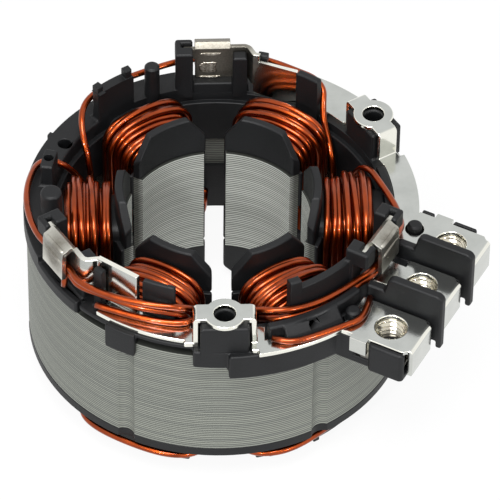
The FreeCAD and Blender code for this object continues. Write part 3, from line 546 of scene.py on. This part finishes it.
# Busbars
# Three strips of copper sheet, 0.7 mm thick, punched, bent and tin plated. Their hooks are folded over
# the leads and fused to them by hot electrodes, which leaves the tin dull and brown there.
rear_hook, left_hook, terminal_hook = 90.0, 211.0, 328.8
sheet_t = 0.7 * mm
sheet_rounding = 0.2 * mm


def near_hooks(tree, place):
    """The distance to the nearest hook, each with its own allowance: the less, the wider its stain."""
    hook_out = 25.1 * mm
    hook_z = 25.2 * mm
    nearest = None
    for degrees, allowance in ((rear_hook, -2 * mm), (left_hook, 1.2 * mm), (terminal_hook, 1 * mm)):
        turn = math.radians(degrees)
        spot = (hook_out * math.cos(turn), hook_out * math.sin(turn), hook_z)
        gap = add(tree, "ShaderNodeVectorMath", {0: place, 1: spot}, operation="DISTANCE").outputs["Value"]
        gap = add(tree, "ShaderNodeMath", {0: gap, 1: allowance}, operation="ADD").outputs[0]
        if nearest is not None:
            gap = add(tree, "ShaderNodeMath", {0: nearest, 1: gap}, operation="MINIMUM").outputs[0]
        nearest = gap
    return nearest


def painted_highlight_share(tree, place):
    """Where the tin gets painted highlights: standing faces low down, level faces high up, and the bends.

    Out at the terminals only a small part of the first two is left. A bend is where the upward part of
    the normal lies near 0.6.
    """
    normal = add(tree, "ShaderNodeSeparateXYZ", {0: add(tree, "ShaderNodeNewGeometry").outputs["Normal"]})
    upright = add(tree, "ShaderNodeMapRange", {"Value": normal.outputs["Z"], "From Min": 0.5,
                                               "From Max": 0.95, "To Min": 1.0, "To Max": 0.0})
    level = add(tree, "ShaderNodeSeparateXYZ", {0: place})
    high = add(tree, "ShaderNodeMapRange", {"Value": level.outputs["Z"], "From Min": 25.3 * mm,
                                            "From Max": 25.6 * mm})
    unlike = add(tree, "ShaderNodeMath", {0: upright.outputs[0], 1: high.outputs[0]}, operation="SUBTRACT")
    bright = add(tree, "ShaderNodeMath", {0: unlike.outputs[0]}, operation="ABSOLUTE")
    inner = add(tree, "ShaderNodeMapRange", {"Value": radius_at(tree, place), "From Min": 29.2 * mm,
                                             "From Max": 29.7 * mm, "To Min": 1.0, "To Max": 0.15})
    bright = add(tree, "ShaderNodeMath", {0: bright.outputs[0], 1: inner.outputs[0]}, operation="MULTIPLY")
    slant = add(tree, "ShaderNodeMath", {0: normal.outputs["Z"], 1: 0.6}, operation="SUBTRACT")
    slant = add(tree, "ShaderNodeMath", {0: slant.outputs[0]}, operation="ABSOLUTE")
    bend = add(tree, "ShaderNodeMapRange", {"Value": slant.outputs[0], "From Min": 0.25, "From Max": 0.38,
                                            "To Min": 1.0, "To Max": 0.0})
    return add(tree, "ShaderNodeMath", {0: bright.outputs[0], 1: bend.outputs[0]}, operation="MAXIMUM")


def tinned_copper():
    """Tin plate: pale bright metal, a little soft in its reflections, dull and brown round the hooks, with
    painted highlights.

    The grain of the rolled sheet is too fine to show, so it is drawn 0.28 mm wide.
    """
    material, tree = new_material("tinned_copper_sheet")
    clouds_to_a_metre = 0.33 / mm
    grains_to_a_metre = 3.6 / mm
    stain_spread = 3.5 * mm
    stain_start, stain_end = 4.5 * mm, 8.5 * mm
    place = add(tree, "ShaderNodeTexCoord").outputs["Object"]
    cloud = add(tree, "ShaderNodeTexNoise", {"Vector": place, "Scale": clouds_to_a_metre, "Detail": 4.0})
    fine = add(tree, "ShaderNodeTexNoise", {"Vector": place, "Scale": grains_to_a_metre, "Detail": 2.0})
    edge = add(tree, "ShaderNodeMath", {0: cloud.outputs[0], 1: stain_spread, 2: near_hooks(tree, place)},
               operation="MULTIPLY_ADD")
    heat = add(tree, "ShaderNodeMapRange", {"Value": edge.outputs[0], "From Min": stain_start,
                                            "From Max": stain_end, "To Min": 1.0, "To Max": 0.0})
    stain = mixed(tree, fine.outputs[0], linear("#66625a"), linear("#98948a"))
    rolled = mixed(tree, cloud.outputs[0], linear("#aeb1ad"), linear("#cfd1cd"))
    # Painted highlight: where the share is high, the tin is painted near white.
    plate = mixed(tree, painted_highlight_share(tree, place).outputs[0], rolled, linear("#efeee4"))
    tone = mixed(tree, heat.outputs[0], plate, stain)
    plain = add(tree, "ShaderNodeMapRange", {"Value": cloud.outputs[0], "To Min": 0.1, "To Max": 0.2})
    rough = add(tree, "ShaderNodeMath", {0: heat.outputs[0], 1: 0.26, 2: plain.outputs[0]},
                operation="MULTIPLY_ADD")
    bump = add(tree, "ShaderNodeBump", {"Height": fine.outputs[0], "Strength": 0.12, "Distance": 0.03 * mm})
    finish_material(tree, {"Base Color": tone, "Metallic": 1.0, "Roughness": rough.outputs[0],
                           "Normal": bump.outputs[0]})
    return material


tin = tinned_copper()

for name in ("busbar_front", "busbar_middle", "busbar_rear"):
    rounded_copy(name, name + "_sheet", sheet_rounding, tin, sheet=sheet_t)


# Pressed ridges and the cut wire end
# Two low ridges across each of the two front hooks, left where the electrode's edges squeezed the tin,
# and the cut end of the left lead, which sticks out under its hook.
def pressed_ridge(degrees, out, height, radius, start):
    """A round bar across a hook, sunk in the sheet so that only its back stands out.

    It sways outwards and inwards by a sine of the place along it, and sinks by the sixth power of that
    place, so that its ends go under.
    """
    half_length = 2.36 * mm
    side = np.linspace(-half_length, half_length, 15)
    sink = 0.4 * mm * (side / half_length) ** 6
    reach = out + 0.04 * mm * np.sin(side / (0.8 * mm) + start) - sink
    turn = math.radians(degrees)
    path = np.stack([reach * math.cos(turn) - side * math.sin(turn),
                     reach * math.sin(turn) + side * math.cos(turn), height - sink], 1)
    return tube_round(path, np.array([[0.0, 0.0, 1.0]]), radius, 12)


# Each ridge is its distance out from the core's axis, its height and its radius.
ridges = ((25.9 * mm, 26.78 * mm, 0.36 * mm), (26.13 * mm, 25.25 * mm, 0.28 * mm))
for name, degrees in (("busbar_front", left_hook), ("busbar_middle", terminal_hook)):
    for number, (out, height, radius) in enumerate(ridges):
        verts, faces = pressed_ridge(degrees, out, height, radius, number + degrees)
        piece_from("%s_ridge_%d" % (name, number + 1), verts, faces, tin, [name])

cut_end = ((210.3, 25.1, 23.8), (213.2, 25.2, 23.3), (215.4, 25.6, 22.3), (216.2, 26.0, 20.9))
path = bent_line(cut_end)
verts, faces = tube_round(path, square_frames(path), wire_r, 12)
piece_from("cut_wire_end", verts, faces, copper, ["lead_left"])


# Electrode marks
# Burnt pads of tin on the inner face of the rear hook: a square one that the electrode left, a narrow
# band over it and the thin bright edge of the tin that ran down. Each is sunk a little into the sheet.
def burnt_tin():
    """Tin melted and scorched: brownish grey metal, blotched pale, duller than the plate round it."""
    material, tree = new_material("burnt_tin")
    blotches_to_a_metre = 2.6 / mm
    place = add(tree, "ShaderNodeTexCoord").outputs["Object"]
    blotch = add(tree, "ShaderNodeTexNoise", {"Vector": place, "Scale": blotches_to_a_metre, "Detail": 3.0})
    spread = add(tree, "ShaderNodeMapRange", {"Value": blotch.outputs[0], "From Min": 0.35,
                                              "From Max": 0.65})
    tone = mixed(tree, spread.outputs[0], linear("#6f675a"), linear("#d6d0c4"))
    bump = add(tree, "ShaderNodeBump", {"Height": blotch.outputs[0], "Strength": 0.5, "Distance": 0.08 * mm})
    finish_material(tree, {"Base Color": tone, "Metallic": 1.0, "Roughness": 0.34,
                           "Normal": bump.outputs[0]})
    return material


scorched = burnt_tin()


def raised_pad(x, z, half_width, half_height, seed):
    """A low pad on the hook's inner face, rows of points from its sunk rim to its middle.

    The outline is a circle drawn out towards its corners by the cosine and sine to the power 0.5, with
    waves of three, five and eleven to the turn. The rows rise quickly, dip and ripple inwards.
    """
    hook_face = 23.9 * mm
    turn = np.linspace(0, 2 * math.pi, 48, endpoint=False)
    wave = np.random.default_rng(seed).uniform(0, 2 * math.pi, 3)
    reach = (1 + 0.07 * np.sin(3 * turn + wave[0]) + 0.05 * np.sin(5 * turn + wave[1])
             + 0.04 * np.sin(11 * turn + wave[2]))
    share = np.array([1.0, 1.0, 0.88, 0.72, 0.56, 0.4, 0.24, 0.1])[:, None]
    height = np.array([-0.06, 0.01, 0.1, 0.05, 0.03, 0.05, 0.035, 0.05])[:, None] * mm
    across = np.sign(np.cos(turn)) * np.abs(np.cos(turn)) ** 0.5
    along = np.sign(np.sin(turn)) * np.abs(np.sin(turn)) ** 0.5
    rows = [x + half_width * share * reach * across, hook_face - height + 0 * turn,
            z + half_height * share * reach * along]
    return np.stack(rows, -1).reshape(-1, 3), grid_faces(len(share), len(turn))


# Each pad is its x and height, then its half width and half height.
pads = (
    (-0.58 * mm, 23.45 * mm, 1.18 * mm, 0.95 * mm),
    (-0.25 * mm, 25.95 * mm, 1.35 * mm, 0.2 * mm),
    (-0.3 * mm, 21.75 * mm, 1.5 * mm, 0.1 * mm),
)
for number, (x, z, half_width, half_height) in enumerate(pads):
    verts, faces = raised_pad(x, z, half_width, half_height, 40 + number)
    piece_from("electrode_mark_%d" % (number + 1), verts, faces, scorched,
               ["busbar_rear"])


# Terminal nuts
# Square M4 nuts of nickel-plated steel, slid into the terminal block under the busbars' ends.
# Each is one closed surface: the thread's wall inside, the chamfered mouth and the square outside.
def bright_nickel():
    """Nickel plate: warm white metal with a sharp shine, with painted shade deep in the thread."""
    material, tree = new_material("bright_nickel_plate")
    clouds_to_a_metre = 0.9 / mm
    deep, shallow = 17.1 * mm, 18.9 * mm
    place = add(tree, "ShaderNodeTexCoord").outputs["Object"]
    cloud = add(tree, "ShaderNodeTexNoise", {"Vector": place, "Scale": clouds_to_a_metre, "Detail": 3.0})
    rough = add(tree, "ShaderNodeMapRange", {"Value": cloud.outputs[0], "To Min": 0.08, "To Max": 0.22})
    # Painted shade: below 18.9 mm the nickel darkens down to 17.1 mm, deep in the thread.
    level = add(tree, "ShaderNodeSeparateXYZ", {0: place})
    depth = add(tree, "ShaderNodeMapRange", {"Value": level.outputs["Z"], "From Min": deep,
                                             "From Max": shallow})
    tone = mixed(tree, depth.outputs[0], linear("#4c4942"), linear("#d2ccbb"))
    finish_material(tree, {"Base Color": tone, "Metallic": 1.0, "Roughness": rough.outputs[0]})
    return material


nickel = bright_nickel()
terminal_turn = -math.pi / 6
terminal_out = 31.0 * mm
terminal_shift = -0.75 * mm
terminal_pitch = 8.9 * mm
nut_top = 19.9 * mm


def threaded_nut(centre_x, centre_y, top):
    """A square nut as rows of points round its axis, each row at the same set of angles.

    The thread's wall is its root radius less a ridge whose height falls and rises with
    height / pitch - angle / full turn, flat on its top and gone at both mouths. The outside is a
    square, half its side over the larger of the absolute cosine and sine, with its corners cut back to
    a circle and its edges chamfered.
    """
    columns = 96
    rows = 120
    height = 3.2 * mm
    pitch = 0.7 * mm
    root = 2.02 * mm
    depth = 0.36 * mm
    half = 3.5 * mm
    corner_r = 4.6 * mm
    chamfer = 0.15 * mm
    mouth_depth = 0.35 * mm
    wall = 0.1 * mm
    angle = np.linspace(0, 2 * math.pi, columns, endpoint=False)
    level = np.linspace(-height, 0, rows)
    phase = (level[:, None] / pitch - angle[None] / (2 * math.pi)) % 1
    ridge = np.clip(1.25 * (1 - 2 * np.abs(phase - 0.5)) - 0.1, 0, 1)
    mouth = np.clip(np.minimum(level + height, -level) / mouth_depth, 0, 1)[:, None]
    radius = root - depth * ridge * mouth
    square = half / np.maximum(np.abs(np.cos(angle)), np.abs(np.sin(angle)))
    corner = np.minimum(square, corner_r)
    rings = [radius, (root + wall) * np.ones((1, columns)), (corner - chamfer)[None],
             corner[None], corner[None], (corner - chamfer)[None]]
    levels = [level, [0], [0], [-chamfer], [chamfer - height], [-height]]
    radius = np.concatenate(rings)
    level = np.concatenate(levels)
    turn = angle + terminal_turn
    x = centre_x + radius * np.cos(turn)
    y = centre_y + radius * np.sin(turn)
    z = np.broadcast_to(top + level[:, None], x.shape)
    verts = np.stack([x, y, z], -1).reshape(-1, 3)
    count = len(level)
    row = np.arange(count)[:, None]
    column = np.arange(columns)[None]
    below, here = row * columns, ((row + 1) % count) * columns
    after = (column + 1) % columns
    quads = np.stack([below + column, here + column, here + after, below + after], -1)
    return verts, quads.reshape(-1, 4).tolist()


for number in range(3):
    beside = terminal_shift + (number - 1) * terminal_pitch
    x = terminal_out * math.cos(terminal_turn) - beside * math.sin(terminal_turn)
    y = terminal_out * math.sin(terminal_turn) + beside * math.cos(terminal_turn)
    verts, faces = threaded_nut(x, y, nut_top)
    piece_from("nut_%d" % (number + 1), verts, faces, nickel,
               ["terminal_nut_%d" % (number + 1)])


# Floor, light and camera
# A plain pale floor and a white surround. One broad lamp hangs above the front, and two small ones
# stand left and right of the camera. The camera's place was fitted to the photograph.
floor_mesh = bpy.data.meshes.new("floor")
floor_half = 1.5
floor_z = -6.5 * mm
corners = ((-floor_half, -floor_half), (floor_half, -floor_half), (floor_half, floor_half),
           (-floor_half, floor_half))
floor_mesh.from_pydata([(x, y, floor_z) for x, y in corners], [], [(0, 1, 2, 3)])
floor = bpy.data.objects.new("floor", floor_mesh)
bpy.context.scene.collection.objects.link(floor)

# To the camera and in reflections the floor is nearly white by itself, so that the shadow stays soft.
paper, tree = new_material("white_paper_floor")
rays = add(tree, "ShaderNodeLightPath")
matte = add(tree, "ShaderNodeBsdfDiffuse", {"Color": linear("#f4f4f4")})
glow = add(tree, "ShaderNodeEmission", {"Color": linear("#ffffff"), "Strength": 1.0})
seen = add(tree, "ShaderNodeMath", {0: rays.outputs["Is Camera Ray"], 1: rays.outputs["Is Glossy Ray"]},
           operation="MAXIMUM")
share = add(tree, "ShaderNodeMath", {0: seen.outputs[0], 1: 0.92}, operation="MULTIPLY")
blend = add(tree, "ShaderNodeMixShader", {0: share.outputs[0], 1: matte.outputs[0], 2: glow.outputs[0]})
add(tree, "ShaderNodeOutputMaterial", {"Surface": blend.outputs[0]})
floor_mesh.materials.append(paper)

# The surround lights the stator at half strength, and is white to the camera and in reflections.
world = bpy.data.worlds.new("white_surround")
world.use_nodes = True
tree = world.node_tree
tree.nodes.clear()
rays = add(tree, "ShaderNodeLightPath")
seen = add(tree, "ShaderNodeMath", {0: rays.outputs["Is Camera Ray"], 1: rays.outputs["Is Glossy Ray"]},
           operation="MAXIMUM")
through = add(tree, "ShaderNodeMath", {0: seen.outputs[0], 1: rays.outputs["Is Transmission Ray"]},
              operation="MAXIMUM")
strength = add(tree, "ShaderNodeMapRange", {"Value": through.outputs[0], "To Min": 0.5, "To Max": 1.0})
backdrop = add(tree, "ShaderNodeBackground", {"Color": linear("#ffffff"),
                                              "Strength": strength.outputs[0]})
add(tree, "ShaderNodeOutputWorld", {"Surface": backdrop.outputs[0]})
bpy.context.scene.world = world


def place_facing(thing, side, up, away, spot):
    """Puts a lamp or camera at a spot, its own x, y and z along three given directions."""
    axes = np.eye(4)
    axes[:3] = np.stack([side, up, away, np.array(spot)], 1)
    thing.matrix_world = Matrix(axes.tolist())


def area_light(name, spot, target, size, power):
    """A square lamp at a spot, facing a target, with its own x level."""
    data = bpy.data.lights.new(name, "AREA")
    data.shape = "SQUARE"
    data.size = size
    data.energy = power
    lamp = bpy.data.objects.new(name, data)
    bpy.context.scene.collection.objects.link(lamp)
    away = np.array(spot) - np.array(target)
    away /= np.linalg.norm(away)
    side = np.cross((0.0, 0.0, 1.0), away)
    side /= np.linalg.norm(side)
    up = np.cross(away, side)
    place_facing(lamp, side, up, away, spot)


stator_middle = (0, 0, 10 * mm)
area_light("above_front", (-0.04, -0.19, 0.46), stator_middle, 0.22, 2.1)
area_light("front_left", (-0.22, -0.42, 0.3), stator_middle, 0.05, 1.2)
area_light("front_right", (0.3, -0.38, 0.22), stator_middle, 0.04, 0.6)

camera_data = bpy.data.cameras.new("camera")
camera_data.sensor_width = 36.0
camera_data.lens = 360.0
camera_data.clip_start = 0.01
camera_data.clip_end = 10.0
camera = bpy.data.objects.new("camera", camera_data)
bpy.context.scene.collection.objects.link(camera)
bpy.context.scene.camera = camera
# The camera's direction and roll are in radians, its distance in metres. The origin of the stator shows
# at this column and row of the picture, and its offset from the middle moves the camera aside.
azimuth, elevation, roll = -0.0489, 0.7887, 0.0154
distance = 0.6905
picture_pixels = 500
origin_column, origin_row = 217.32, 309.46
seen_right = origin_column - picture_pixels / 2
seen_up = picture_pixels / 2 - origin_row
focal_pixels = picture_pixels * camera_data.lens / camera_data.sensor_width
back = np.array([math.sin(azimuth) * math.cos(elevation), -math.cos(azimuth) * math.cos(elevation),
                 math.sin(elevation)])
level = np.cross(-back, (0.0, 0.0, 1.0))
level /= np.linalg.norm(level)
upright = np.cross(level, -back)
right = math.cos(roll) * level + math.sin(roll) * upright
up = -math.sin(roll) * level + math.cos(roll) * upright
spot = -(seen_right / focal_pixels * distance * right + seen_up / focal_pixels * distance * up
         - distance * back)
place_facing(camera, right, up, back, spot)

bpy.context.scene.view_settings.view_transform = "Standard"
